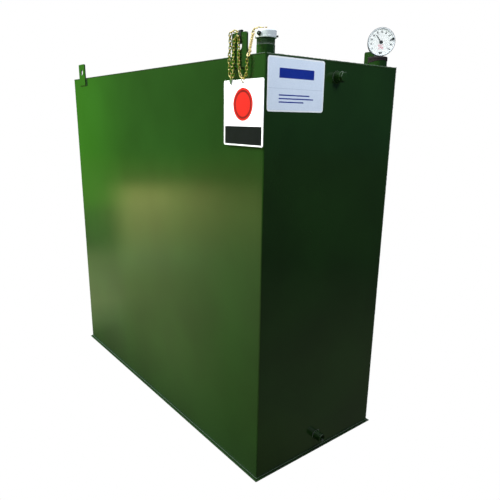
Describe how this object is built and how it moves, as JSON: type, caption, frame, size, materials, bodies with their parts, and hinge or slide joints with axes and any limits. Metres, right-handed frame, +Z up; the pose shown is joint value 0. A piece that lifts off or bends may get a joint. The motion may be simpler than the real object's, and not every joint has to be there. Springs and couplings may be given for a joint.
{
  "type": "steel fuel storage tank",
  "caption": "Upright rectangular sheet-steel fuel tank with lifting lugs, capped fill riser, level gauge, outlet and a tag on a chain.",
  "frame": {"origin": "on the ground, under the middle of the tank body", "axes": "+Z up, +X towards the end with the outlet, -Y towards the long side with the tag"},
  "size_m": [1.5693, 0.6412, 1.5631],
  "materials": {
    "green_gloss_paint": "gloss",
    "cast_cap": "cast, satin",
    "black_fittings": "matte",
    "brass_chain": "bright",
    "zinc_clip": "zinc plated",
    "dark_nut": "matte",
    "gauge_grey": "satin",
    "dial_white": "gloss",
    "clear_lens": "clear",
    "tag_white": "gloss",
    "label_vinyl": "satin"
  },
  "bodies": {
    "tank": {"base_plate": "green_gloss_paint", "cap_chain_stud": "brass_chain", "cap_lock_screw": "black_fittings", "cap_pin": "black_fittings", "chain_cap_to_tag": "brass_chain", "chain_end_clip": "zinc_clip", "chain_spare_loop": "brass_chain", "chain_tag_to_lug": "brass_chain", "dial_stop": "black_fittings", "end_label": "label_vinyl", "far_base_weld": "green_gloss_paint", "far_top_weld": "green_gloss_paint", "fill_cap": "cast_cap", "fill_riser": "green_gloss_paint", "front_base_weld": "green_gloss_paint", "front_corner_weld": "green_gloss_paint", "front_far_lug": "green_gloss_paint", "front_near_lug": "green_gloss_paint", "front_shell": "green_gloss_paint", "front_top_weld": "green_gloss_paint", "gauge_bezel": "gauge_grey", "gauge_dial": "dial_white", "gauge_housing": "gauge_grey", "gauge_knob": "black_fittings", "gauge_lens": "clear_lens", "gauge_nut": "dark_nut", "gauge_socket": "green_gloss_paint", "lug_tie": "black_fittings", "near_base_weld": "green_gloss_paint", "near_top_weld": "green_gloss_paint", "outlet_socket": "green_gloss_paint", "rear_base_weld": "green_gloss_paint", "rear_corner_weld": "green_gloss_paint", "rear_far_lug": "green_gloss_paint", "rear_near_lug": "green_gloss_paint", "rear_shell": "green_gloss_paint", "rear_top_weld": "green_gloss_paint", "tag_plate": "tag_white", "tag_ring": "brass_chain", "top_plate": "green_gloss_paint", "upper_plug": "green_gloss_paint", "upper_socket": "green_gloss_paint"},
    "pointer": {"gauge_pointer": "black_fittings"}
  },
  "joints": [
    {"name": "pointer_turn", "type": "hinge", "parent": "tank", "child": "pointer", "pos_m": [0.73208, 0.24608, 1.5164], "axis": [-0.6947, 0.7193, 0], "range_deg": [-87, 166]}
  ]
}
